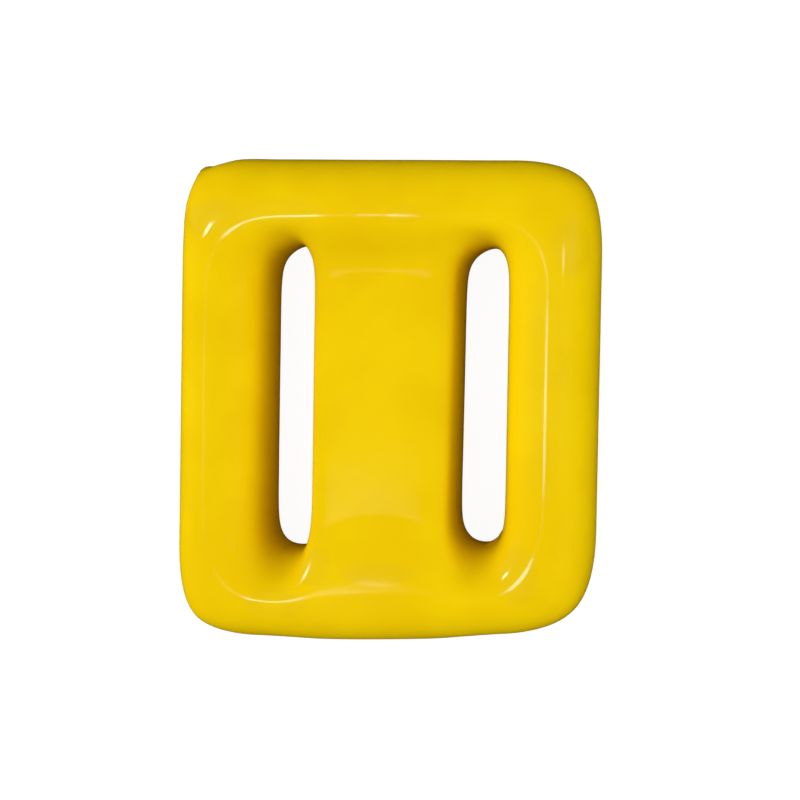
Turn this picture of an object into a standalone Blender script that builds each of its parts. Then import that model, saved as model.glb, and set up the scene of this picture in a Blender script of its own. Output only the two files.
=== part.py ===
"""Lace-through diving weight: a cast lead block inside a dipped vinyl coat.

The block lies on its flat back with its front face up (+Z). The two belt slots run along Y,
so the webbing crosses the middle bar along X. The origin is on the back plane, under the
middle of the outline. The coat was dipped while the casting hung on a hook through its right
slot, at the end at -Y: the hook left a small round mark, and the last drip set at the corner
that hung lowest. All sizes are in metres.
"""

import math

import bmesh
import bpy
import numpy as np
from mathutils import Matrix, Vector

# Coated block, measured over the coat
block_width = 0.0769
block_length = 0.0872
block_height = 0.0237

# The end at -Y bows outward and is a little out of square: its left corner stands out further
end_bow = 0.0012
bow_half_width = 0.0201
end_skew = 0.0040

# Reach of each rounded corner of the outline, measured along its sides, and the straight after it
corner_reach = {
    ("left", "near"): 0.0124,
    ("right", "near"): 0.0123,
    ("left", "far"): 0.0169,
    ("right", "far"): 0.0116,
}
corner_clearance = 0.0021

# Belt slots, and how far from its end each slot has straight walls
slot_width = 0.0090
slot_length = 0.0550
slot_spacing = 0.0357
slot_straight_start = 0.0100

# The rim is a fat bar with a rounded front, and the crest of each side lies this far from its edge
rim_round = 0.0088
near_rim_round = 0.0083
far_rim_round = 0.0108
left_crest = 0.0060
right_crest = 0.0067

# The back edge is rounded less
back_round = 0.0045
back_edge_inset = 0.0011

# Shares of the space from a slot's end to the block's end: how far the slot's front mouth reaches
# into it, and how far from the block's end lie the crest and the foot of the slope to the bar
near_lip_share = 0.350
far_lip_share = 0.149
near_crest_share = 0.485
far_crest_share = 0.733
near_foot_share = 1.304
far_foot_share = 1.100
near_foot_round = 0.0030
far_foot_round = 0.0042

# The end of each slot at +Y is pinched, and its middle lies a little to the right
slot_end_pinch = 0.0004
slot_end_lean = 0.0011

# The middle bar lies lower than the rim and rises gently towards the end at -Y
bar_drop = 0.0046
bar_rise = 0.0027
bar_flat_width = 0.0174
bar_edge_round = 0.0036
left_bar_edge_inset = 0.0011
right_bar_edge_inset = 0.0004

# Each wall of the bar comes this much nearer to the other one towards the end at -Y
left_bar_taper = 0.0009
right_bar_taper = 0.0003

# Back mouth of each slot
mouth_round = 0.0025
mouth_inset = 0.0010

# Dipped coat, the hook's mark in it, and the last drip at the corner that hung lowest
coat_thickness = 0.0012
coat_clearance = 0.0003
hook_mark_diameter = 0.0020
hook_mark_height = 0.0100
drip_reach = 0.0029

# Fineness of the surfaces: the skin is finer than what it hides
skin_levels = 2
inner_levels = 1
crest_rounds = 12

# A round form from eight control points: how far out they lie, and their two coordinates
octagon_reach = 6.0 / (4.0 + 2.0 * math.cos(math.radians(45.0)))
near_share = octagon_reach * math.sin(math.radians(22.5))
far_share = octagon_reach * math.cos(math.radians(22.5))
diagonal_share = octagon_reach * math.cos(math.radians(45.0))
corner_share = (6.0 * math.cos(math.radians(45.0)) - 1.0) / 4.0

# How far a control point moves for each step that the surface beside it moves
corner_pull = 6.0 / 4.0

# Lines of the control cage: columns across the width, rows along the length, levels upward
last_line = 9
first_slot_row = 2
last_skewed_row = 3
last_slot_row = 7
back_level, lower_wall_level, upper_wall_level, front_level = range(4)
slot_columns = {2: (-1, -1), 3: (-1, 1), 6: (1, -1), 7: (1, 1)}


def wall_offset(back_offset, front_offset):
    """Offset of two wall rows that brings the rounded wall to its named size halfway up."""
    return -(back_offset + front_offset) / 46.0


def column_place(column):
    """Place across the width of a cage column that meets no slot."""
    half = block_width / 2.0
    slot_middle = slot_spacing / 2.0
    from_middle = (
        half,
        half - (left_crest if column <= 4 else right_crest),
        slot_middle + slot_width / 2.0,
        slot_middle - slot_width / 2.0,
        bar_flat_width / 2.0,
    )
    if column <= 4:
        return -from_middle[column]
    return from_middle[last_line - column]


def in_end_space(share):
    """Distance from the block's end that is this share of the space between slot and end."""
    return share * (block_length - slot_length) / 2.0


def row_place(row):
    """Place along the length of a cage row on the rim and on the straight part of a slot."""
    half = block_length / 2.0
    side_straight = half - max(corner_reach.values()) - corner_clearance
    slot_straight = slot_length / 2.0 - slot_straight_start
    from_middle = (
        half,
        half - in_end_space(near_crest_share if row <= 4 else far_crest_share),
        side_straight,
        (side_straight + slot_straight) / 2.0,
        slot_straight,
    )
    if row <= 4:
        return -from_middle[row]
    return from_middle[last_line - row]


def bar_row_place(row):
    """Place along the length of a cage row on the middle bar."""
    near_foot = in_end_space(near_foot_share) - block_length / 2.0
    far_foot = block_length / 2.0 - in_end_space(far_foot_share)
    return {
        first_slot_row: near_foot,
        first_slot_row + 1: near_foot + near_foot_round,
        last_slot_row - 1: far_foot - far_foot_round,
        last_slot_row: far_foot,
    }.get(row, row_place(row))


def bar_front(y):
    """Height of a control point at y on the middle bar's front or on the slope at its end."""
    half = block_length / 2.0
    far_foot_height = block_height - bar_drop
    places = (
        in_end_space(near_crest_share) - half,
        in_end_space(near_foot_share) - half,
        half - in_end_space(far_foot_share),
        half - in_end_space(far_crest_share),
    )
    heights = (block_height, far_foot_height + bar_rise, far_foot_height, block_height)
    return float(np.interp(y, places, heights))


def near_end_reach(row, x):
    """How far the end at -Y stands out at x: its rows are out of square, and the outer ones bow."""
    if row > last_skewed_row:
        return 0.0
    bow_share = max(0.0, 1.0 - row / first_slot_row)
    bow_round = max(0.0, 1.0 - (x / bow_half_width) ** 2)
    return end_bow * bow_round * bow_share - end_skew * x / block_width


def middle_shift():
    """Shift along Y that puts the origin midway between the furthest points of the two ends."""
    return max(near_end_reach(0, column_place(column)) for column in range(1, last_line)) / 2.0


def hanging_hook():
    """Middle of the slot end that the hook held, and the direction from there up the hook."""
    x = slot_spacing / 2.0
    y = (slot_width - slot_length) / 2.0 - near_end_reach(first_slot_row, x)
    middle = Vector((x, y))
    return middle, middle.normalized()


def outline_point(column, row, inset):
    """Control point of the rounded outline, moved inward by inset."""
    half_width = block_width / 2.0
    half_length = block_length / 2.0
    side_x = -1 if column <= 4 else 1
    side_y = -1 if row <= 4 else 1
    reach = corner_reach["left" if side_x < 0 else "right", "near" if side_y < 0 else "far"]
    middle_x = side_x * (half_width - reach)
    middle_y = side_y * (half_length - reach)
    from_side = min(column, last_line - column)
    from_end = min(row, last_line - row)
    if from_side == 0 and from_end == 0:
        out = corner_share * (reach - inset)
        x = middle_x + side_x * out
        y = middle_y + side_y * out
    elif from_side == 0:
        x = side_x * (half_width - inset)
        y = middle_y if from_end == 1 else row_place(row)
    else:
        x = middle_x if from_side == 1 else column_place(column)
        y = side_y * (half_length - inset)
    return Vector((x, y))


def slot_point(column, row, offset, end_offset):
    """Control point of a slot's outline, moved outward by offset and, at its ends, by end_offset."""
    slot_side, wall_side = slot_columns[column]
    middle_x = slot_side * slot_spacing / 2.0
    if faces_bar(column):
        taper = left_bar_taper if slot_side < 0 else right_bar_taper
        middle_x -= slot_side * taper * (0.5 - row_place(row) / slot_length)
    side_y = -1 if row <= 4 else 1
    middle_y = side_y * (slot_length - slot_width) / 2.0
    radius = slot_width / 2.0 + offset
    if row in (first_slot_row, last_slot_row):
        x = middle_x + wall_side * near_share * radius
        if row == last_slot_row:
            x += slot_end_lean - wall_side * slot_end_pinch
        return Vector((x, middle_y + side_y * (far_share * slot_width / 2.0 + end_offset)))
    x = middle_x + wall_side * radius
    if row in (first_slot_row + 1, last_slot_row - 1):
        return Vector((x, middle_y + side_y * near_share * radius))
    return Vector((x, row_place(row)))


def faces_bar(column):
    """Whether this slot wall belongs to the middle bar."""
    slot_side, wall_side = slot_columns[column]
    return slot_side != wall_side


def bar_share(column, row):
    """1 on the middle bar's own walls, 0 on the rim's, halfway where they meet at a slot's end."""
    if not faces_bar(column):
        return 0.0
    return 0.5 if row in (first_slot_row, last_slot_row) else 1.0


def on_outline(column, row):
    return column in (0, last_line) or row in (0, last_line)


def on_slot(column, row):
    return column in slot_columns and first_slot_row <= row <= last_slot_row


def on_crest(column, row):
    return column in (1, last_line - 1) or row in (1, last_line - 1)


def on_rail(column, row):
    """Whether this point lies on the crest of a side or an end, away from the corners."""
    between = 1 < column < last_line - 1 or 1 < row < last_line - 1
    return between and on_crest(column, row) and not on_outline(column, row)


def outline_control(column, row, level):
    """Control point on the outer side of the block."""
    on_end = row in (0, last_line) and column not in (0, last_line)
    end_round = near_rim_round if row <= 4 else far_rim_round
    front_round = end_round if on_end else rim_round
    shoulder_inset = (1.0 - diagonal_share) * front_round
    inset = {
        back_level: back_edge_inset,
        lower_wall_level: wall_offset(back_edge_inset, shoulder_inset),
        upper_wall_level: wall_offset(back_edge_inset, shoulder_inset),
        front_level: shoulder_inset,
    }[level]
    height = {
        back_level: 0.0,
        lower_wall_level: back_round,
        upper_wall_level: block_height - front_round,
        front_level: block_height - shoulder_inset,
    }[level]
    return outline_point(column, row, inset).to_3d() + Vector((0.0, 0.0, height))


def slot_control(column, row, level):
    """Control point on the wall of a slot."""
    share = bar_share(column, row)
    rim_inset = (1.0 - diagonal_share) * rim_round
    bar_inset = left_bar_edge_inset if column <= 4 else right_bar_edge_inset
    front_inset = rim_inset + share * (bar_inset - rim_inset)
    offset = {
        back_level: mouth_inset,
        lower_wall_level: wall_offset(mouth_inset, front_inset),
        upper_wall_level: wall_offset(mouth_inset, front_inset),
        front_level: front_inset,
    }[level]
    lip = in_end_space(near_lip_share if row <= 4 else far_lip_share)
    end_offset = lip if level == front_level else offset
    place = slot_point(column, row, offset, end_offset)
    rim_wall = block_height - rim_round
    rim_front = block_height - rim_inset
    bar_top = bar_front(place.y)
    height = {
        back_level: 0.0,
        lower_wall_level: mouth_round,
        upper_wall_level: rim_wall + share * (bar_top - bar_edge_round - rim_wall),
        front_level: rim_front + share * (bar_top - rim_front),
    }[level]
    return place.to_3d() + Vector((0.0, 0.0, height))


def cage_control(column, row, level):
    """Place of the cage's control point with these three counts."""
    if on_outline(column, row):
        return outline_control(column, row, level)
    if on_slot(column, row):
        return slot_control(column, row, level)
    x = column_place(column)
    if on_crest(column, row):
        return Vector((x, row_place(row), block_height if level == front_level else 0.0))
    y = bar_row_place(row)
    return Vector((x, y, bar_front(y) if level == front_level else 0.0))


def raise_crest(crest):
    """Raises the rim's control points until the rounded surface just reaches the full height."""
    for _ in range(crest_rounds):
        for vert in crest:
            beside = [edge.other_vert(vert) for edge in vert.link_edges]
            around = [corner for face in vert.link_faces for corner in face.verts]
            across = [corner for corner in around if corner != vert and corner not in beside]
            weighted = 16.0 * vert.co.z + 4.0 * sum(near.co.z for near in beside)
            weighted += sum(far.co.z for far in across)
            vert.co.z += block_height - weighted / 36.0


def cage_mesh(drip):
    """Control cage of the block: a plate with two slots, moved onto its control points.

    The corner that hung lowest stands out by the length of the drip on it.
    """
    cage = bmesh.new()
    bmesh.ops.create_grid(
        cage, x_segments=last_line, y_segments=last_line, size=last_line / 2.0
    )
    bmesh.ops.translate(cage, verts=cage.verts, vec=(last_line / 2.0, last_line / 2.0, 0.0))
    slot_starts = (2, 6)
    slot_faces = [
        face
        for face in cage.faces
        if int(face.calc_center_median().x) in slot_starts
        and first_slot_row < face.calc_center_median().y < last_slot_row
    ]
    bmesh.ops.delete(cage, geom=slot_faces, context="FACES")
    grown = bmesh.ops.extrude_face_region(cage, geom=cage.faces[:])
    top = [item for item in grown["geom"] if isinstance(item, bmesh.types.BMVert)]
    bmesh.ops.translate(cage, verts=top, vec=(0.0, 0.0, front_level))
    for level in (lower_wall_level, upper_wall_level):
        everything = cage.verts[:] + cage.edges[:] + cage.faces[:]
        bmesh.ops.bisect_plane(
            cage, geom=everything, dist=0.01, plane_co=(0, 0, level), plane_no=(0, 0, 1)
        )
    crest = []
    for vert in cage.verts:
        column, row, level = (round(count) for count in vert.co)
        if level == front_level and on_rail(column, row):
            crest.append(vert)
        place = cage_control(column, row, level)
        place.y += middle_shift() - near_end_reach(row, place.x)
        if (column, row) == (0, last_line):
            place -= hanging_hook()[1].to_3d() * corner_pull * drip
        vert.co = place
    raise_crest(crest)
    bmesh.ops.recalc_face_normals(cage, faces=cage.faces)
    mesh = bpy.data.meshes.new("weight_cage")
    cage.to_mesh(mesh)
    cage.free()
    mesh.shade_smooth()
    return mesh


def soften(obj, levels):
    """Rounds the cage into the soft form of the block."""
    rounding = obj.modifiers.new("soft_form", "SUBSURF")
    rounding.levels = levels
    rounding.render_levels = levels
    return rounding


def move_in(obj, depth):
    """Moves the whole surface inward by depth, with its faces split alike at every depth."""
    inward = obj.modifiers.new("inward", "DISPLACE")
    inward.mid_level = 0.0
    inward.strength = -depth
    split = obj.modifiers.new("same_triangles", "TRIANGULATE")
    split.quad_method = "FIXED"
    return inward


def cut(obj, cutter, name):
    """Takes the cutter's space out of the object."""
    cutting = obj.modifiers.new(name, "BOOLEAN")
    cutting.operation = "DIFFERENCE"
    cutting.object = cutter
    return cutting


def finish(name, colour, roughness, metallic):
    """Plain finish of one piece."""
    material = bpy.data.materials.new(name)
    material.use_nodes = True
    shader = material.node_tree.nodes["Principled BSDF"]
    shader.inputs["Base Color"].default_value = colour
    shader.inputs["Roughness"].default_value = roughness
    shader.inputs["Metallic"].default_value = metallic
    return material


def new_piece(name, mesh, collection):
    """Object of this name in this collection."""
    piece = bpy.data.objects.new(name, mesh)
    collection.objects.link(piece)
    return piece


def make_core(mesh, parts):
    """Cast lead block, which fills the coat but for a hair's clearance."""
    core = new_piece("lead_core", mesh, parts)
    soften(core, inner_levels)
    move_in(core, coat_thickness + coat_clearance)
    core.data.materials.append(finish("lead", (0.33, 0.34, 0.36, 1.0), 0.55, 1.0))
    return core


def make_hook_mark(cutters):
    """Cutter for the small round mark that the dipping hook left in one slot's end."""
    slot_end, upward = hanging_hook()
    turn = Matrix.Rotation(math.atan2(upward.y, upward.x), 4, "Z")
    mark = bmesh.new()
    depth = 4.0 * coat_thickness
    bmesh.ops.create_cone(
        mark,
        cap_ends=True,
        segments=16,
        radius1=hook_mark_diameter / 2.0,
        radius2=hook_mark_diameter / 2.0,
        depth=depth,
        matrix=turn @ Matrix.Rotation(math.radians(90.0), 4, "Y"),
    )
    mesh = bpy.data.meshes.new("hook_mark")
    mark.to_mesh(mesh)
    mark.free()
    cutter = new_piece("hook_mark_cutter", mesh, cutters)
    wall = slot_end + upward * slot_width / 2.0
    cutter.location = (wall.x, wall.y + middle_shift(), hook_mark_height)
    cutter.hide_render = True
    cutter.display_type = "WIRE"
    return cutter


def make_coat(mesh, room_mesh, parts, cutters):
    """Dipped vinyl skin: the soft outer form, hollow where the lead is."""
    inside = new_piece("coat_inside_cutter", room_mesh, cutters)
    soften(inside, inner_levels)
    move_in(inside, coat_thickness)
    inside.hide_render = True
    inside.display_type = "WIRE"
    coat = new_piece("vinyl_coating", mesh, parts)
    soften(coat, skin_levels)
    cut(coat, inside, "room_for_lead")
    cut(coat, make_hook_mark(cutters), "hook_mark")
    coat.data.materials.append(finish("yellow_vinyl", (0.85, 0.56, 0.01, 1.0), 0.2, 0.0))
    return coat


def main():
    for obj in list(bpy.data.objects):
        bpy.data.objects.remove(obj, do_unlink=True)
    parts = bpy.data.collections.new("diving_weight")
    cutters = bpy.data.collections.new("cutters")
    for collection in (parts, cutters):
        bpy.context.scene.collection.children.link(collection)
    make_core(cage_mesh(0.0), parts)
    make_coat(cage_mesh(drip_reach), cage_mesh(0.0), parts, cutters)


if __name__ == "__main__":
    main()
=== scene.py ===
"""Looks of a lace-through diving weight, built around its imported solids.

The block lies on its flat back on a pale floor, with its front face up (+Z) and its two belt
slots along Y. Two pieces are made here: the dipped vinyl coat, which is hollow and open only at
the mark of the dipping hook, and the cast lead block that fills it. Sizes are in metres.
"""

import logging
import math
from dataclasses import dataclass, field
from enum import Enum, IntEnum

import bmesh
import bpy
import numpy as np
from mathutils import Matrix, Vector, noise


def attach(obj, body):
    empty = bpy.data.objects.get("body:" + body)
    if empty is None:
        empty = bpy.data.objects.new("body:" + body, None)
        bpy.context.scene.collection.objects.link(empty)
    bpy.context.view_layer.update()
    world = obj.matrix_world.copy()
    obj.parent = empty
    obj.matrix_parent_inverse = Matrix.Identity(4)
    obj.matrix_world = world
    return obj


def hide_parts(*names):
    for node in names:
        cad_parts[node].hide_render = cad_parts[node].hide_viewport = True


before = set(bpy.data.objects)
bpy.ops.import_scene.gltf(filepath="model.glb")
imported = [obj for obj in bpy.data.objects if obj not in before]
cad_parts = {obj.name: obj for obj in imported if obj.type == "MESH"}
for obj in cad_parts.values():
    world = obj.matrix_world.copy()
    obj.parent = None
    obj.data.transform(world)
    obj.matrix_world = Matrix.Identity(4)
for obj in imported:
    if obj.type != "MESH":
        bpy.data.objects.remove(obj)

LOG = logging.getLogger("diving_weight")

# A rounded curve passes each control point with 4 parts of that point and 1 part of each of its
# neighbours. Midway between two control points it has 23 parts of each, and 1 of the next ones.
AT_POINT = 4.0
AT_POINT_SUM = AT_POINT + 2.0
MIDWAY = 23.0
EIGHTH_TURN = math.radians(45.0)

# Places of the two colour inputs and of the colour output on a mix node.
MIX_COLOURS = (6, 7)
MIX_RESULT = 2


class Level(IntEnum):
    """Levels of the control cage, from the flat back up to the front."""

    BACK = 0
    LOWER_WALL = 1
    UPPER_WALL = 2
    FRONT = 3


class Slot(str, Enum):
    """Material slots of the record."""

    VINYL = "yellow_vinyl"
    LEAD = "lead"


class Body(str, Enum):
    """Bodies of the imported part."""

    ROOT = "root"


class Node(str, Enum):
    """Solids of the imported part."""

    COAT = "vinyl_coating"
    CORE = "lead_core"


class NoiseKind(str, Enum):
    """Pattern textures that the finishes are made of."""

    CLOUD = "ShaderNodeTexNoise"
    CELLS = "ShaderNodeTexVoronoi"


@dataclass(frozen=True)
class BlockForm:
    """Soft form of the coated block: a control cage that subdivision rounds.

    The cage is a plate of ten columns by ten rows of points with two slots in it. Its sizes are
    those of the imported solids, so the rounded form fills the same space.
    """

    width: float = 0.0769
    length: float = 0.0872
    height: float = 0.0237
    end_bow: float = 0.0012
    bow_half_width: float = 0.0201
    end_skew: float = 0.0040
    corner_reach: dict[tuple[str, str], float] = field(
        default_factory=lambda: {
            ("left", "near"): 0.0124,
            ("right", "near"): 0.0123,
            ("left", "far"): 0.0169,
            ("right", "far"): 0.0116,
        }
    )
    corner_clearance: float = 0.0021
    slot_width: float = 0.0090
    slot_length: float = 0.0550
    slot_spacing: float = 0.0357
    slot_straight_start: float = 0.0100
    rim_round: float = 0.0088
    near_rim_round: float = 0.0083
    far_rim_round: float = 0.0108
    left_crest: float = 0.0060
    right_crest: float = 0.0067
    back_round: float = 0.0045
    back_edge_inset: float = 0.0011
    near_lip_share: float = 0.350
    far_lip_share: float = 0.149
    near_crest_share: float = 0.485
    far_crest_share: float = 0.733
    near_foot_share: float = 1.304
    far_foot_share: float = 1.100
    near_foot_round: float = 0.0030
    far_foot_round: float = 0.0042
    slot_end_pinch: float = 0.0004
    slot_end_lean: float = 0.0011
    bar_drop: float = 0.0046
    bar_rise: float = 0.0027
    bar_flat_width: float = 0.0174
    bar_edge_round: float = 0.0036
    left_bar_edge_inset: float = 0.0011
    right_bar_edge_inset: float = 0.0004
    left_bar_taper: float = 0.0009
    right_bar_taper: float = 0.0003
    mouth_round: float = 0.0025
    mouth_inset: float = 0.0010
    drip_reach: float = 0.0029
    drip_pull: float = 1.5
    crest_rounds: int = 12
    cage_snap: float = 0.01
    last_line: int = 9
    first_slot_row: int = 2
    last_skewed_row: int = 3
    last_slot_row: int = 7
    slot_starts: tuple[int, int] = (2, 6)

    @property
    def octagon_reach(self) -> float:
        """How far out eight control points lie for a round form of radius one."""
        return AT_POINT_SUM / (AT_POINT + 2.0 * math.cos(EIGHTH_TURN))

    @property
    def diagonal_share(self) -> float:
        """Both coordinates of a control point on the diagonal of a round form."""
        return self.octagon_reach * math.cos(EIGHTH_TURN)

    @property
    def slot_columns(self) -> dict[int, tuple[int, int]]:
        """Columns on a slot's walls: which slot, and which of its two walls."""
        left, right = self.slot_starts
        return {left: (-1, -1), left + 1: (-1, 1), right: (1, -1), right + 1: (1, 1)}

    @staticmethod
    def wall_offset(back_offset: float, front_offset: float) -> float:
        """Offset of two wall rows that brings the rounded wall to its named size.

        Args:
            back_offset: Offset of the row below them.
            front_offset: Offset of the row above them.

        Returns:
            The offset that both wall rows get.
        """
        return -(back_offset + front_offset) / (2.0 * MIDWAY)

    def side_of(self, count: int) -> int:
        """-1 for a column left of the middle or a row nearer to the end at -Y, and else 1."""
        return -1 if 2 * count < self.last_line else 1

    def from_edge(self, count: int) -> int:
        """How many lines a column or row lies in from the nearer edge of the cage."""
        return min(count, self.last_line - count)

    def column_place(self, column: int) -> float:
        """Place across the width of a cage column that meets no slot.

        Args:
            column: Count of the column from the left.

        Returns:
            Its x.
        """
        half = self.width / 2.0
        middle = self.slot_spacing / 2.0
        side = self.side_of(column)
        places = (
            half,
            half - (self.left_crest if side < 0 else self.right_crest),
            middle + self.slot_width / 2.0,
            middle - self.slot_width / 2.0,
            self.bar_flat_width / 2.0,
        )
        return side * places[self.from_edge(column)]

    def in_end_space(self, share: float) -> float:
        """Distance from the block's end that is this share of the space between slot and end."""
        return share * (self.length - self.slot_length) / 2.0

    def row_place(self, row: int) -> float:
        """Place along the length of a cage row on the rim and on the straight part of a slot.

        Args:
            row: Count of the row from the end at -Y.

        Returns:
            Its y.
        """
        half = self.length / 2.0
        side = self.side_of(row)
        crest_share = self.near_crest_share if side < 0 else self.far_crest_share
        side_straight = half - max(self.corner_reach.values()) - self.corner_clearance
        slot_straight = self.slot_length / 2.0 - self.slot_straight_start
        places = (
            half,
            half - self.in_end_space(crest_share),
            side_straight,
            (side_straight + slot_straight) / 2.0,
            slot_straight,
        )
        return side * places[self.from_edge(row)]

    def bar_row_place(self, row: int) -> float:
        """Place along the length of a cage row on the middle bar.

        Args:
            row: Count of the row from the end at -Y.

        Returns:
            Its y.
        """
        near_foot = self.in_end_space(self.near_foot_share) - self.length / 2.0
        far_foot = self.length / 2.0 - self.in_end_space(self.far_foot_share)
        return {
            self.first_slot_row: near_foot,
            self.first_slot_row + 1: near_foot + self.near_foot_round,
            self.last_slot_row - 1: far_foot - self.far_foot_round,
            self.last_slot_row: far_foot,
        }.get(row, self.row_place(row))

    def bar_front(self, y: float) -> float:
        """Height of a control point on the middle bar's front or on the slope at its end.

        Args:
            y: Place of the point along the length.

        Returns:
            Its z.
        """
        half = self.length / 2.0
        far_foot_height = self.height - self.bar_drop
        places = (
            self.in_end_space(self.near_crest_share) - half,
            self.in_end_space(self.near_foot_share) - half,
            half - self.in_end_space(self.far_foot_share),
            half - self.in_end_space(self.far_crest_share),
        )
        heights = (self.height, far_foot_height + self.bar_rise, far_foot_height, self.height)
        return float(np.interp(y, places, heights))

    def near_end_reach(self, row: int, x: float) -> float:
        """How far the end at -Y stands out at x, since it bows and is a little out of square.

        Args:
            row: Count of the row from the end at -Y.
            x: Place across the width.

        Returns:
            The distance by which the row lies further out.
        """
        if row > self.last_skewed_row:
            return 0.0
        bow_share = max(0.0, 1.0 - row / self.first_slot_row)
        bow_round = max(0.0, 1.0 - (x / self.bow_half_width) ** 2)
        return self.end_bow * bow_round * bow_share - self.end_skew * x / self.width

    def middle_shift(self) -> float:
        """Shift along Y that puts the origin midway between the two ends."""
        columns = range(1, self.last_line)
        return max(self.near_end_reach(0, self.column_place(column)) for column in columns) / 2.0

    def hanging_hook(self) -> tuple[Vector, Vector]:
        """Where the block hung while it was dipped.

        Returns:
            The middle of the slot end that the hook held, and the direction up the hook.
        """
        x = self.slot_spacing / 2.0
        y = (self.slot_width - self.slot_length) / 2.0
        middle = Vector((x, y - self.near_end_reach(self.first_slot_row, x)))
        return middle, middle.normalized()

    def outline_point(self, column: int, row: int, inset: float) -> Vector:
        """Control point of the rounded outline.

        Args:
            column: Count of the column from the left.
            row: Count of the row from the end at -Y.
            inset: Distance by which the point moves inward.

        Returns:
            The point's x and y.
        """
        half_width = self.width / 2.0
        half_length = self.length / 2.0
        side_x = self.side_of(column)
        side_y = self.side_of(row)
        corner = ("left" if side_x < 0 else "right", "near" if side_y < 0 else "far")
        reach = self.corner_reach[corner]
        middle_x = side_x * (half_width - reach)
        middle_y = side_y * (half_length - reach)
        from_side = self.from_edge(column)
        from_end = self.from_edge(row)
        if from_side == 0 and from_end == 0:
            out = (AT_POINT_SUM * math.cos(EIGHTH_TURN) - 1.0) / AT_POINT * (reach - inset)
            return Vector((middle_x + side_x * out, middle_y + side_y * out))
        if from_side == 0:
            return Vector(
                (side_x * (half_width - inset), middle_y if from_end == 1 else self.row_place(row))
            )
        x = middle_x if from_side == 1 else self.column_place(column)
        return Vector((x, side_y * (half_length - inset)))

    def slot_point(self, column: int, row: int, offset: float, end_offset: float) -> Vector:
        """Control point of a slot's outline.

        Args:
            column: Count of the column from the left.
            row: Count of the row from the end at -Y.
            offset: Distance by which the point moves out of the slot.
            end_offset: The same distance at the slot's two ends.

        Returns:
            The point's x and y.
        """
        slot_side, wall_side = self.slot_columns[column]
        side_y = self.side_of(row)
        middle_x = slot_side * self.slot_spacing / 2.0
        if slot_side != wall_side:
            taper = self.left_bar_taper if slot_side < 0 else self.right_bar_taper
            middle_x -= slot_side * taper * (0.5 - self.row_place(row) / self.slot_length)
        middle_y = side_y * (self.slot_length - self.slot_width) / 2.0
        radius = self.slot_width / 2.0 + offset
        near_share = self.octagon_reach * math.sin(EIGHTH_TURN / 2.0)
        far_share = self.octagon_reach * math.cos(EIGHTH_TURN / 2.0)
        if row in (self.first_slot_row, self.last_slot_row):
            x = middle_x + wall_side * near_share * radius
            if row == self.last_slot_row:
                x += self.slot_end_lean - wall_side * self.slot_end_pinch
            end = far_share * self.slot_width / 2.0 + end_offset
            return Vector((x, middle_y + side_y * end))
        x = middle_x + wall_side * radius
        if row in (self.first_slot_row + 1, self.last_slot_row - 1):
            return Vector((x, middle_y + side_y * near_share * radius))
        return Vector((x, self.row_place(row)))

    def bar_share(self, column: int, row: int) -> float:
        """How far a slot wall belongs to the middle bar.

        Args:
            column: Count of the column from the left.
            row: Count of the row from the end at -Y.

        Returns:
            1 on the bar's own walls, 0 on the rim's, and half where they meet.
        """
        slot_side, wall_side = self.slot_columns[column]
        if slot_side == wall_side:
            return 0.0
        return 0.5 if row in (self.first_slot_row, self.last_slot_row) else 1.0

    def on_outline(self, column: int, row: int) -> bool:
        """Whether the point lies on the block's outer side."""
        return column in (0, self.last_line) or row in (0, self.last_line)

    def on_slot(self, column: int, row: int) -> bool:
        """Whether the point lies on the wall of a slot."""
        return column in self.slot_columns and self.first_slot_row <= row <= self.last_slot_row

    def on_crest(self, column: int, row: int) -> bool:
        """Whether the point lies on the line next to the outline."""
        return column in (1, self.last_line - 1) or row in (1, self.last_line - 1)

    def on_rail(self, column: int, row: int) -> bool:
        """Whether the point lies on the crest of a side or an end, away from the corners."""
        between = 1 < column < self.last_line - 1 or 1 < row < self.last_line - 1
        return between and self.on_crest(column, row) and not self.on_outline(column, row)

    def outline_control(self, column: int, row: int, level: int) -> Vector:
        """Control point on the outer side of the block.

        Args:
            column: Count of the column from the left.
            row: Count of the row from the end at -Y.
            level: Level of the cage.

        Returns:
            The point's place.
        """
        on_end = row in (0, self.last_line) and column not in (0, self.last_line)
        end_round = self.near_rim_round if self.side_of(row) < 0 else self.far_rim_round
        front_round = end_round if on_end else self.rim_round
        shoulder_inset = (1.0 - self.diagonal_share) * front_round
        wall = self.wall_offset(self.back_edge_inset, shoulder_inset)
        inset = (self.back_edge_inset, wall, wall, shoulder_inset)[level]
        height = (
            0.0,
            self.back_round,
            self.height - front_round,
            self.height - shoulder_inset,
        )[level]
        return self.outline_point(column, row, inset).to_3d() + Vector((0.0, 0.0, height))

    def slot_control(self, column: int, row: int, level: int) -> Vector:
        """Control point on the wall of a slot.

        Args:
            column: Count of the column from the left.
            row: Count of the row from the end at -Y.
            level: Level of the cage.

        Returns:
            The point's place.
        """
        share = self.bar_share(column, row)
        rim_inset = (1.0 - self.diagonal_share) * self.rim_round
        on_left = self.side_of(column) < 0
        bar_inset = self.left_bar_edge_inset if on_left else self.right_bar_edge_inset
        front_inset = rim_inset + share * (bar_inset - rim_inset)
        wall = self.wall_offset(self.mouth_inset, front_inset)
        offset = (self.mouth_inset, wall, wall, front_inset)[level]
        lip_share = self.near_lip_share if self.side_of(row) < 0 else self.far_lip_share
        lip = self.in_end_space(lip_share)
        end_offset = lip if level == Level.FRONT else offset
        place = self.slot_point(column, row, offset, end_offset)
        rim_wall = self.height - self.rim_round
        rim_front = self.height - rim_inset
        bar_top = self.bar_front(place.y)
        height = (
            0.0,
            self.mouth_round,
            rim_wall + share * (bar_top - self.bar_edge_round - rim_wall),
            rim_front + share * (bar_top - rim_front),
        )[level]
        return place.to_3d() + Vector((0.0, 0.0, height))

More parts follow.
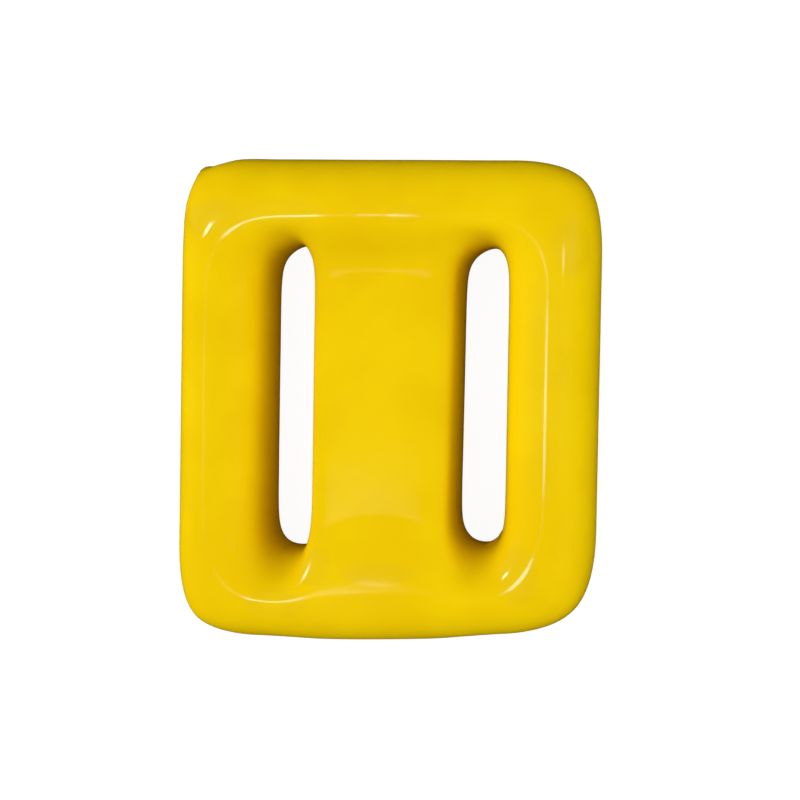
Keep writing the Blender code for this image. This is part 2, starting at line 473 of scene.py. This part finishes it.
    def control(self, column: int, row: int, level: int) -> Vector:
        """Place of the cage's control point with these three counts.

        Args:
            column: Count of the column from the left.
            row: Count of the row from the end at -Y.
            level: Level of the cage.

        Returns:
            The point's place, before the shift that centres the block.
        """
        if self.on_outline(column, row):
            return self.outline_control(column, row, level)
        if self.on_slot(column, row):
            return self.slot_control(column, row, level)
        x = self.column_place(column)
        in_front = level == Level.FRONT
        if self.on_crest(column, row):
            return Vector((x, self.row_place(row), self.height if in_front else 0.0))
        y = self.bar_row_place(row)
        return Vector((x, y, self.bar_front(y) if in_front else 0.0))

    def raise_crest(self, crest: list[bmesh.types.BMVert]) -> None:
        """Raises the rim's control points until the rounded surface reaches the full height.

        Args:
            crest: Control points on the crest of the rim.
        """
        for _ in range(self.crest_rounds):
            for vert in crest:
                beside = [edge.other_vert(vert) for edge in vert.link_edges]
                around = [corner for face in vert.link_faces for corner in face.verts]
                across = [corner for corner in around if corner != vert and corner not in beside]
                weighted = AT_POINT**2 * vert.co.z + AT_POINT * sum(near.co.z for near in beside)
                weighted += sum(far.co.z for far in across)
                vert.co.z += self.height - weighted / AT_POINT_SUM**2

    def cage(self, drip: float) -> bpy.types.Mesh:
        """Control cage of the block: a plate with two slots, moved onto its control points.

        Args:
            drip: Distance by which the corner that hung lowest stands out.

        Returns:
            The cage as a mesh.
        """
        cage = bmesh.new()
        half = self.last_line / 2.0
        bmesh.ops.create_grid(
            cage, x_segments=self.last_line, y_segments=self.last_line, size=half
        )
        bmesh.ops.translate(cage, verts=cage.verts, vec=(half, half, 0.0))
        slot_faces = []
        for face in cage.faces:
            middle = face.calc_center_median()
            in_slot = int(middle.x) in self.slot_starts
            if in_slot and self.first_slot_row < middle.y < self.last_slot_row:
                slot_faces.append(face)
        bmesh.ops.delete(cage, geom=slot_faces, context="FACES")
        grown = bmesh.ops.extrude_face_region(cage, geom=cage.faces[:])
        top = [item for item in grown["geom"] if isinstance(item, bmesh.types.BMVert)]
        bmesh.ops.translate(cage, verts=top, vec=(0.0, 0.0, Level.FRONT))
        for level in (Level.LOWER_WALL, Level.UPPER_WALL):
            bmesh.ops.bisect_plane(
                cage,
                geom=cage.verts[:] + cage.edges[:] + cage.faces[:],
                dist=self.cage_snap,
                plane_co=(0.0, 0.0, level),
                plane_no=(0.0, 0.0, 1.0),
            )
        crest = []
        for vert in cage.verts:
            column, row, level = (round(count) for count in vert.co)
            if level == Level.FRONT and self.on_rail(column, row):
                crest.append(vert)
            place = self.control(column, row, level)
            place.y += self.middle_shift() - self.near_end_reach(row, place.x)
            if (column, row) == (0, self.last_line):
                place -= self.hanging_hook()[1].to_3d() * (self.drip_pull * drip)
            vert.co = place
        self.raise_crest(crest)
        bmesh.ops.recalc_face_normals(cage, faces=cage.faces)
        mesh = bpy.data.meshes.new("block_cage")
        cage.to_mesh(mesh)
        cage.free()
        return mesh

    def rounded(self, levels: int, drip: float = 0.0, depth: float = 0.0) -> bpy.types.Mesh:
        """The soft form itself, or a copy of it that lies a little deeper.

        Args:
            levels: How many times subdivision rounds the cage.
            drip: Distance by which the corner that hung lowest stands out.
            depth: Distance by which the surface moves inward.

        Returns:
            The rounded surface as a mesh.
        """
        shape = bpy.data.objects.new("soft_form", self.cage(drip))
        bpy.context.scene.collection.objects.link(shape)
        rounding = shape.modifiers.new("soft_form", "SUBSURF")
        rounding.levels = levels
        rounding.render_levels = levels
        if depth > 0.0:
            inward = shape.modifiers.new("inward", "DISPLACE")
            inward.mid_level = 0.0
            inward.strength = -depth
        return applied(shape)


def applied(shape: bpy.types.Object) -> bpy.types.Mesh:
    """Mesh of an object with its modifiers applied. The object itself is removed.

    Args:
        shape: The object to read.

    Returns:
        Its final mesh.
    """
    graph = bpy.context.evaluated_depsgraph_get()
    mesh = bpy.data.meshes.new_from_object(shape.evaluated_get(graph))
    source = shape.data
    bpy.data.objects.remove(shape, do_unlink=True)
    bpy.data.meshes.remove(source)
    return mesh


def smoothstep(value: float) -> float:
    """Soft step from 0 to 1.

    Args:
        value: Position, where 0 and 1 are the ends of the step.

    Returns:
        The height of the step there.
    """
    held = min(1.0, max(0.0, value))
    return held * held * (3.0 - 2.0 * held)


def combined(
    tree: bpy.types.NodeTree,
    operation: str,
    first: bpy.types.NodeSocket,
    second: bpy.types.NodeSocket | float,
) -> bpy.types.NodeSocket:
    """Adds one arithmetic node.

    Args:
        tree: The node tree that gets it.
        operation: What it works out.
        first: Its first value.
        second: Its second value, or the output that gives it.

    Returns:
        The result.
    """
    node = tree.nodes.new("ShaderNodeMath")
    node.operation = operation
    for socket, value in zip(node.inputs, (first, second)):
        if isinstance(value, float):
            socket.default_value = value
        else:
            tree.links.new(value, socket)
    return node.outputs[0]


@dataclass
class NodeBoard:
    """Node tree of one finish, with short ways to add and join its nodes."""

    material: bpy.types.Material

    @classmethod
    def new(cls, name: str) -> "NodeBoard":
        """Starts the node tree of a new material."""
        material = bpy.data.materials.new(name)
        material.use_nodes = True
        return cls(material)

    @property
    def shader(self) -> bpy.types.Node:
        """The material's surface shader."""
        return self.material.node_tree.nodes["Principled BSDF"]

    def add(self, kind: str, **settings: object) -> bpy.types.Node:
        """Adds a node.

        Args:
            kind: The node's type.
            **settings: Properties of the node.

        Returns:
            The node.
        """
        node = self.material.node_tree.nodes.new(kind)
        for name, value in settings.items():
            setattr(node, name, value)
        return node

    def join(self, source: bpy.types.NodeSocket, target: bpy.types.NodeSocket) -> None:
        """Joins an output to an input."""
        self.material.node_tree.links.new(source, target)

    def place(self) -> bpy.types.NodeSocket:
        """Position on the piece, in its own coordinates."""
        return self.add("ShaderNodeTexCoord").outputs["Object"]

    def pattern(self, size: float, detail: float, rough: float = 0.5) -> bpy.types.NodeSocket:
        """Cloudy pattern on the piece.

        Args:
            size: Width of its patches.
            detail: How many finer layers it has.
            rough: How strong the finer layers are.

        Returns:
            The pattern's value, about 0.5 on average.
        """
        cloud = self.add(NoiseKind.CLOUD.value)
        cloud.inputs["Scale"].default_value = 1.0 / size
        cloud.inputs["Detail"].default_value = detail
        cloud.inputs["Roughness"].default_value = rough
        self.join(self.place(), cloud.inputs["Vector"])
        return cloud.outputs["Fac"]

    def ranged(
        self, value: bpy.types.NodeSocket, lowest: float, highest: float, low: float, high: float
    ) -> bpy.types.NodeSocket:
        """Maps one range of a value onto another.

        Args:
            value: The value to map.
            lowest: Start of its own range.
            highest: End of its own range.
            low: Result at the start.
            high: Result at the end.

        Returns:
            The mapped value.
        """
        mapped = self.add("ShaderNodeMapRange", interpolation_type="SMOOTHSTEP")
        self.join(value, mapped.inputs["Value"])
        mapped.inputs["From Min"].default_value = lowest
        mapped.inputs["From Max"].default_value = highest
        mapped.inputs["To Min"].default_value = low
        mapped.inputs["To Max"].default_value = high
        return mapped.outputs["Result"]

    def blended(
        self,
        share: bpy.types.NodeSocket,
        first: bpy.types.NodeSocket | tuple[float, ...],
        second: bpy.types.NodeSocket | tuple[float, ...],
    ) -> bpy.types.NodeSocket:
        """Blend of two colours.

        Args:
            share: Share of the second colour.
            first: First colour, or the output that gives it.
            second: Second colour, or the output that gives it.

        Returns:
            The blended colour.
        """
        mix = self.add("ShaderNodeMix", data_type="RGBA")
        self.join(share, mix.inputs["Factor"])
        for place, colour in zip(MIX_COLOURS, (first, second)):
            if isinstance(colour, tuple):
                mix.inputs[place].default_value = colour
            else:
                self.join(colour, mix.inputs[place])
        return mix.outputs[MIX_RESULT]

    def relief(
        self,
        height: bpy.types.NodeSocket,
        depth: float,
        under: bpy.types.NodeSocket | None = None,
    ) -> bpy.types.NodeSocket:
        """Fine relief of the surface.

        Args:
            height: Pattern of the relief.
            depth: Full height of the relief.
            under: Relief that this one lies on.

        Returns:
            The surface's new normal.
        """
        bump = self.add("ShaderNodeBump")
        bump.inputs["Strength"].default_value = 1.0
        bump.inputs["Distance"].default_value = depth
        self.join(height, bump.inputs["Height"])
        if under is not None:
            self.join(under, bump.inputs["Normal"])
        return bump.outputs["Normal"]


@dataclass(frozen=True)
class ShinyPatch:
    """Soft-edged patch of the skin that mirrors the lamps, where a line of light is seen."""

    centre: tuple[float, float, float]
    radii: tuple[float, float, float]
    shine: float = 1.0
    full_until: float = 0.55
    none_from: float = 1.15

    def strength(self, board: NodeBoard) -> bpy.types.NodeSocket:
        """How far a place on the piece belongs to the patch.

        Args:
            board: The material's node board.

        Returns:
            The patch's shine well inside it, falling to 0 past its edge.
        """
        inside = board.add("ShaderNodeVectorMath", operation="SUBTRACT")
        board.join(board.place(), inside.inputs[0])
        inside.inputs[1].default_value = self.centre
        scaled = board.add("ShaderNodeVectorMath", operation="DIVIDE")
        board.join(inside.outputs["Vector"], scaled.inputs[0])
        scaled.inputs[1].default_value = self.radii
        reach = board.add("ShaderNodeVectorMath", operation="LENGTH")
        board.join(scaled.outputs["Vector"], reach.inputs[0])
        return board.ranged(
            reach.outputs["Value"], self.full_until, self.none_from, self.shine, 0.0
        )


@dataclass(frozen=True)
class VinylFinish:
    """Glossy dipped vinyl: nearly plain yellow, with a skin that flowed as it set.

    The lamps show mostly in a few patches, so that their lines of light lie where the real
    block has them.
    """

    body_colour: tuple[float, ...] = (0.90, 0.610, 0.0014, 1.0)
    deep_colour: tuple[float, ...] = (0.86, 0.565, 0.0010, 1.0)
    speck_colour: tuple[float, ...] = (0.30, 0.17, 0.01, 1.0)
    gloss: float = 0.10
    dull: float = 0.14
    refraction: float = 1.52
    plain_shine: float = 0.03
    patch_shine: float = 0.50
    patches: tuple[ShinyPatch, ...] = (
        ShinyPatch((-0.0300, 0.0330, 0.0230), (0.0075, 0.0040, 0.0080)),
        ShinyPatch((-0.0180, 0.0340, 0.0236), (0.0090, 0.0030, 0.0080)),
        ShinyPatch((-0.0011, 0.0342, 0.0236), (0.0030, 0.0020, 0.0080), 0.35),
        ShinyPatch((0.0047, 0.0341, 0.0236), (0.0036, 0.0020, 0.0080), 0.70),
        ShinyPatch((0.0309, 0.0060, 0.0236), (0.0040, 0.0260, 0.0080), 0.60),
        ShinyPatch((0.0345, 0.0285, 0.0220), (0.0040, 0.0060, 0.0080), 0.80),
        ShinyPatch((0.0265, -0.0295, 0.0230), (0.0040, 0.0060, 0.0080), 0.90),
        ShinyPatch((-0.0175, -0.0363, 0.0236), (0.0070, 0.0030, 0.0080), 0.90),
        ShinyPatch((-0.0030, -0.0360, 0.0236), (0.0120, 0.0030, 0.0080), 0.30),
        ShinyPatch((0.0010, -0.0302, 0.0230), (0.0085, 0.0024, 0.0080), 0.70),
        ShinyPatch((-0.0105, -0.0298, 0.0230), (0.0034, 0.0040, 0.0080), 0.90),
    )
    cloud_size: float = 0.016
    flow_size: float = 0.0045
    peel_size: float = 0.0011
    flow_depth: float = 0.000012
    peel_depth: float = 0.0000012
    speck_spacing: float = 0.0060
    speck_size: float = 0.020
    speck_strength: float = 0.6
    cloud_range: tuple[float, float] = (0.35, 0.65)
    smear_range: tuple[float, float] = (0.35, 0.75)

    def material(self) -> bpy.types.Material:
        """Builds the material.

        Returns:
            The finished material.
        """
        board = NodeBoard.new("yellow_dipped_vinyl")
        cloud = board.ranged(board.pattern(self.cloud_size, 3.0), *self.cloud_range, 0.0, 1.0)
        colour = board.blended(cloud, self.body_colour, self.deep_colour)
        cells = board.add(NoiseKind.CELLS.value)
        cells.inputs["Scale"].default_value = 1.0 / self.speck_spacing
        board.join(board.place(), cells.inputs["Vector"])
        speck = board.ranged(
            cells.outputs["Distance"], 0.0, self.speck_size, self.speck_strength, 0.0
        )
        colour = board.blended(speck, colour, self.speck_colour)
        board.join(colour, board.shader.inputs["Base Color"])
        smear = board.pattern(self.flow_size, 4.0, 0.6)
        roughness = board.ranged(smear, *self.smear_range, self.gloss, self.dull)
        board.join(roughness, board.shader.inputs["Roughness"])
        flow = board.relief(board.pattern(self.flow_size, 1.0), self.flow_depth)
        peel = board.relief(board.pattern(self.peel_size, 2.0), self.peel_depth, flow)
        board.join(peel, board.shader.inputs["Normal"])
        board.join(self.shine(board), board.shader.inputs["Specular IOR Level"])
        board.shader.inputs["IOR"].default_value = self.refraction
        return board.material

    def shine(self, board: NodeBoard) -> bpy.types.NodeSocket:
        """How strongly the skin mirrors the lamps, which is hardly at all between the patches.

        Args:
            board: The material's node board.

        Returns:
            The strength of the mirrored light.
        """
        first, *others = (patch.strength(board) for patch in self.patches)
        most = first
        for strength in others:
            most = combined(board.material.node_tree, "MAXIMUM", most, strength)
        return board.ranged(most, 0.0, 1.0, self.plain_shine, self.patch_shine)


@dataclass(frozen=True)
class LeadFinish:
    """Dull cast lead: grey oxide in patches over a fine-grained skin."""

    bare_colour: tuple[float, ...] = (0.36, 0.37, 0.39, 1.0)
    oxide_colour: tuple[float, ...] = (0.20, 0.21, 0.23, 1.0)
    bright: float = 0.42
    dull: float = 0.68
    patch_size: float = 0.009
    grain_size: float = 0.0007
    patch_depth: float = 0.00004
    grain_depth: float = 0.00001
    patch_range: tuple[float, float] = (0.4, 0.65)

    def material(self) -> bpy.types.Material:
        """Builds the material.

        Returns:
            The finished material.
        """
        board = NodeBoard.new("dull_cast_lead")
        cloud = board.pattern(self.patch_size, 5.0, 0.6)
        patches = board.ranged(cloud, *self.patch_range, 0.0, 1.0)
        colour = board.blended(patches, self.bare_colour, self.oxide_colour)
        board.join(colour, board.shader.inputs["Base Color"])
        roughness = board.ranged(patches, 0.0, 1.0, self.bright, self.dull)
        board.join(roughness, board.shader.inputs["Roughness"])
        cast = board.relief(board.pattern(self.patch_size, 3.0), self.patch_depth)
        grain = board.relief(board.pattern(self.grain_size, 2.0), self.grain_depth, cast)
        board.join(grain, board.shader.inputs["Normal"])
        board.shader.inputs["Metallic"].default_value = 1.0
        return board.material


@dataclass(frozen=True)
class FloorFinish:
    """Pale matt floor, which may glow a little, as a lit tabletop does under small goods."""

    name: str
    shade: float
    glow: float

    def material(self) -> bpy.types.Material:
        """Builds the material.

        Returns:
            The finished material.
        """
        board = NodeBoard.new(self.name)
        board.shader.inputs["Base Color"].default_value = (self.shade, self.shade, self.shade, 1.0)
        board.shader.inputs["Roughness"].default_value = 1.0
        board.shader.inputs["Specular IOR Level"].default_value = 0.0
        board.shader.inputs["Emission Color"].default_value = (1.0, 1.0, 1.0, 1.0)
        board.shader.inputs["Emission Strength"].default_value = self.glow
        return board.material


def show_piece(name: str, mesh: bpy.types.Mesh, material: bpy.types.Material) -> bpy.types.Object:
    """Puts a finished piece in the scene.

    Args:
        name: The piece's name.
        mesh: Its mesh, which holds its place.
        material: Its finish.

    Returns:
        The piece.
    """
    mesh.materials.clear()
    mesh.materials.append(material)
    mesh.shade_smooth()
    piece = bpy.data.objects.new(name, mesh)
    bpy.context.scene.collection.objects.link(piece)
    return piece


def report(piece: bpy.types.Object) -> None:
    """Logs a piece's name, its count of faces and its size in millimetres."""
    size = " x ".join(f"{side * 1000.0:.1f}" for side in piece.dimensions)
    LOG.info("%s: %d faces, %s mm", piece.name, len(piece.data.polygons), size)


@dataclass(frozen=True)
class Bump:
    """Small upright swelling or dent at the corner where the last drip set."""

    place: tuple[float, float, float]
    width: float
    height: float
    tallness: float = 0.0110

    def height_at(self, point: Vector) -> float:
        """Height of the swelling at a point.

        Args:
            point: Point of the skin.

        Returns:
            The distance by which it stands out there.
        """
        x, y, z = self.place
        reach = math.hypot(point.x - x, point.y - y) / self.width
        upright = smoothstep(1.0 - abs(point.z - z) / self.tallness)
        return self.height * smoothstep(1.0 - reach) * upright


@dataclass
class VinylCoat:
    """Dipped vinyl skin: soft outside, hollow inside, open at the mark of the dipping hook."""

    form: BlockForm
    finish: VinylFinish
    thickness: float = 0.0012
    outer_levels: int = 4
    inner_levels: int = 2
    mark_diameter: float = 0.0020
    mark_height: float = 0.0100
    mark_lip: float = 0.00025
    lip_share: float = 1.5
    wave_size: float = 0.0110
    wave_depth: float = 0.00006
    wave_swing: float = 0.7
    fine_share: float = 0.4
    sharp_angle: float = math.radians(50.0)
    plug_walls: float = 4.0
    nub: tuple[Bump, ...] = (
        Bump((-0.0358, 0.0422, 0.0090), 0.0034, 0.0013),
        Bump((-0.0318, 0.0436, 0.0090), 0.0036, -0.0005),
        Bump((-0.0385, 0.0392, 0.0090), 0.0044, -0.0013),
    )

    def mark_place(self) -> Vector:
        """Middle of the hook's mark on the outer surface."""
        slot_end, upward = self.form.hanging_hook()
        wall = slot_end + upward * self.form.slot_width / 2.0
        return Vector((wall.x, wall.y + self.form.middle_shift(), self.mark_height))

    def shape_skin(self, skin: bmesh.types.BMesh) -> None:
        """Moves the skin's points for the waves, the last drip and the lip round the mark.

        Args:
            skin: The rounded outer surface.
        """
        skin.normal_update()
        mark = self.mark_place()
        downward = -self.form.hanging_hook()[1].to_3d()
        lip_middle = self.lip_share * self.mark_diameter / 2.0
        moves = []
        for vert in skin.verts:
            coarse = noise.noise(vert.co / self.wave_size)
            fine = noise.noise(vert.co / (self.fine_share * self.wave_size))
            waves = coarse + self.fine_share * fine
            move = vert.normal * (-self.wave_depth * (1.0 + self.wave_swing * waves) / 2.0)
            ring = 1.0 - abs((vert.co - mark).length - lip_middle) / lip_middle
            move += vert.normal * (self.mark_lip * smoothstep(ring))
            for bump in self.nub:
                move += downward * bump.height_at(vert.co)
            moves.append(move)
        for vert, move in zip(skin.verts, moves):
            vert.co += move

    def build(self) -> bpy.types.Object:
        """Builds the coat.

        Returns:
            The finished piece.
        """
        skin = bmesh.new()
        outer = self.form.rounded(self.outer_levels, drip=self.form.drip_reach)
        skin.from_mesh(outer)
        self.shape_skin(skin)
        hollow = bmesh.new()
        inner = self.form.rounded(self.inner_levels, depth=self.thickness)
        hollow.from_mesh(inner)
        bmesh.ops.reverse_faces(hollow, faces=hollow.faces)
        turned = bpy.data.meshes.new("hollow")
        hollow.to_mesh(turned)
        hollow.free()
        skin.from_mesh(turned)
        shell = bpy.data.meshes.new("shell")
        skin.to_mesh(shell)
        skin.free()
        for spent in (outer, inner, turned):
            bpy.data.meshes.remove(spent)
        mesh = self.open_mark(shell)
        coat = show_piece("dipped_vinyl_coat", mesh, self.finish.material())
        mesh.set_sharp_from_angle(angle=self.sharp_angle)
        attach(coat, Body.ROOT.value)
        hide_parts(Node.COAT.value)
        return coat

    def open_mark(self, shell: bpy.types.Mesh) -> bpy.types.Mesh:
        """Cuts the hook's small round mark through the shell.

        Args:
            shell: The skin with its hollow.

        Returns:
            The shell with the mark open.
        """
        upward = self.form.hanging_hook()[1]
        turn = Matrix.Rotation(math.atan2(upward.y, upward.x), 4, "Z")
        across = Matrix.Rotation(math.radians(90.0), 4, "Y")
        plug = bmesh.new()
        bmesh.ops.create_cone(
            plug,
            cap_ends=True,
            segments=32,
            radius1=self.mark_diameter / 2.0,
            radius2=self.mark_diameter / 2.0,
            depth=self.plug_walls * self.thickness,
            matrix=Matrix.Translation(self.mark_place()) @ turn @ across,
        )
        plug_mesh = bpy.data.meshes.new("hook_mark")
        plug.to_mesh(plug_mesh)
        plug.free()
        cutter = bpy.data.objects.new("hook_mark", plug_mesh)
        whole = bpy.data.objects.new("shell", shell)
        for shape in (cutter, whole):
            bpy.context.scene.collection.objects.link(shape)
        opening = whole.modifiers.new("hook_mark", "BOOLEAN")
        opening.operation = "DIFFERENCE"
        opening.object = cutter
        mesh = applied(whole)
        bpy.data.objects.remove(cutter, do_unlink=True)
        bpy.data.meshes.remove(plug_mesh)
        return mesh


@dataclass
class LeadBlock:
    """Cast lead block, which fills the coat but for a hair's clearance."""

    form: BlockForm
    finish: LeadFinish
    depth: float = 0.0015
    levels: int = 3
    grain_size: float = 0.0040
    grain_depth: float = 0.00006

    def build(self) -> bpy.types.Object:
        """Builds the casting.

        Returns:
            The finished piece.
        """
        mesh = self.form.rounded(self.levels, depth=self.depth)
        casting = bmesh.new()
        casting.from_mesh(mesh)
        casting.normal_update()
        moves = [
            vert.normal * (-self.grain_depth * (0.5 + 0.5 * noise.noise(vert.co / self.grain_size)))
            for vert in casting.verts
        ]
        for vert, move in zip(casting.verts, moves):
            vert.co += move
        casting.to_mesh(mesh)
        casting.free()
        block = show_piece("cast_lead_block", mesh, self.finish.material())
        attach(block, Body.ROOT.value)
        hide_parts(Node.CORE.value)
        return block


@dataclass(frozen=True)
class SoftBox:
    """Flat rectangular lamp that faces the block."""

    name: str
    direction: tuple[float, float, float]
    width: float
    depth: float
    radiance: float
    distance: float = 0.9
    aim_height: float = 0.012

    def build(self) -> bpy.types.Object:
        """Hangs the lamp.

        Returns:
            The lamp.
        """
        away = Vector(self.direction).normalized()
        lamp = bpy.data.lights.new(self.name, "AREA")
        lamp.shape = "RECTANGLE"
        lamp.size = self.width
        lamp.size_y = self.depth
        lamp.energy = self.radiance * math.pi * self.width * self.depth
        holder = bpy.data.objects.new(self.name, lamp)
        turn = away.to_track_quat("Z", "Y").to_matrix().to_4x4()
        centre = Vector((0.0, 0.0, self.aim_height))
        holder.matrix_world = Matrix.Translation(centre + away * self.distance) @ turn
        holder.visible_camera = False
        bpy.context.scene.collection.objects.link(holder)
        return holder


@dataclass(frozen=True)
class Camera:
    """Camera that looks down on the block, a little from its right."""

    eye: tuple[float, float, float] = (0.08036, 0.0200, 0.4001)
    target: tuple[float, float, float] = (0.001856, 0.000260, 0.0090)
    roll: float = -0.0172
    lens: float = 97.295
    sensor: float = 36.0
    clip_start: float = 0.01
    clip_end: float = 50.0

    def build(self) -> bpy.types.Object:
        """Sets up the camera.

        Returns:
            The camera.
        """
        sight = bpy.data.cameras.new("camera")
        sight.lens = self.lens
        sight.sensor_width = self.sensor
        sight.clip_start = self.clip_start
        sight.clip_end = self.clip_end
        camera = bpy.data.objects.new("camera", sight)
        eye = Vector(self.eye)
        back = (eye - Vector(self.target)).normalized()
        right = Vector((math.sin(self.roll), math.cos(self.roll), 0.0)).cross(back).normalized()
        up = back.cross(right)
        turn = Matrix((right, up, back)).transposed().to_4x4()
        camera.matrix_world = Matrix.Translation(eye) @ turn
        bpy.context.scene.collection.objects.link(camera)
        bpy.context.scene.camera = camera
        return camera


@dataclass(frozen=True)
class Glow:
    """Soft light from one half of the room, strongest from its middle direction."""

    direction: tuple[float, float, float]
    strength: float
    focus: float = 1.0


@dataclass
class Studio:
    """Pale floor, soft lamps, even surroundings and the camera."""

    camera: Camera = field(default_factory=Camera)
    floor_size: float = 6.0
    lit_sheet: FloorFinish = FloorFinish("pale_floor", 0.12, 0.94)
    table: FloorFinish = FloorFinish("white_table", 0.15, 0.05)
    table_drop: float = 0.0002
    glows: tuple[Glow, ...] = (
        Glow((0.0, 0.0, 1.0), 0.77),
        Glow((-1.0, 0.0, 0.0), 3.40, 4.0),
        Glow((1.0, 0.0, 0.0), 3.10, 4.0),
    )
    lamps: tuple[SoftBox, ...] = (
        SoftBox("key_lamp", (-0.65, 0.33, 0.68), 0.12, 0.10, 14.0),
        SoftBox("overhead_lamp", (-0.23, -0.05, 0.97), 0.10, 0.09, 10.0),
        SoftBox("side_lamp", (0.60, 0.12, 0.78), 0.10, 0.10, 5.0),
    )

    def lay_sheet(self, name: str, finish: FloorFinish, height: float) -> bpy.types.Object:
        """Lays one flat sheet of floor.

        Args:
            name: The sheet's name.
            finish: Its finish.
            height: Its height.

        Returns:
            The sheet.
        """
        sheet = bmesh.new()
        bmesh.ops.create_grid(sheet, x_segments=1, y_segments=1, size=self.floor_size / 2.0)
        bmesh.ops.translate(sheet, verts=sheet.verts, vec=(0.0, 0.0, height))
        mesh = bpy.data.meshes.new(name)
        sheet.to_mesh(mesh)
        sheet.free()
        laid = show_piece(name, mesh, finish.material())
        laid.visible_glossy = False
        return laid

    def build_floor(self) -> None:
        """Lays the floor that is seen, and under it the table that throws light back."""
        floor = self.lay_sheet("floor", self.lit_sheet, 0.0)
        floor.visible_diffuse = False
        floor.visible_shadow = False
        table = self.lay_sheet("table", self.table, -self.table_drop)
        table.visible_camera = False

    def build_surroundings(self) -> None:
        """Fills the room with soft light, which doesn't mirror in the block."""
        world = bpy.data.worlds.new("surroundings")
        world.use_nodes = True
        tree = world.node_tree
        sky = tree.nodes["Background"]
        sky.inputs["Color"].default_value = (1.0, 1.0, 1.0, 1.0)
        room = tree.nodes.new("ShaderNodeTexCoord").outputs["Generated"]
        total = None
        for glow in self.glows:
            facing = tree.nodes.new("ShaderNodeVectorMath")
            facing.operation = "DOT_PRODUCT"
            facing.inputs[1].default_value = glow.direction
            tree.links.new(room, facing.inputs[0])
            held = combined(tree, "MAXIMUM", facing.outputs["Value"], 0.0)
            focused = combined(tree, "POWER", held, glow.focus)
            lit = combined(tree, "MULTIPLY", focused, glow.strength)
            total = lit if total is None else combined(tree, "ADD", total, lit)
        tree.links.new(total, sky.inputs["Strength"])
        world.cycles_visibility.glossy = False
        bpy.context.scene.world = world

    def build(self) -> None:
        """Sets up the whole studio."""
        self.build_floor()
        self.build_surroundings()
        for lamp in self.lamps:
            lamp.build()
        self.camera.build()
        bpy.context.scene.view_settings.view_transform = "Standard"


def main() -> None:
    """Builds the pieces in order."""
    logging.basicConfig(level=logging.INFO, format="%(name)s: %(message)s", force=True)
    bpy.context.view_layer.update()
    form = BlockForm()
    for sub_assembly in (VinylCoat(form, VinylFinish()), LeadBlock(form, LeadFinish())):
        report(sub_assembly.build())
    Studio().build()


if __name__ == "__main__":
    main()
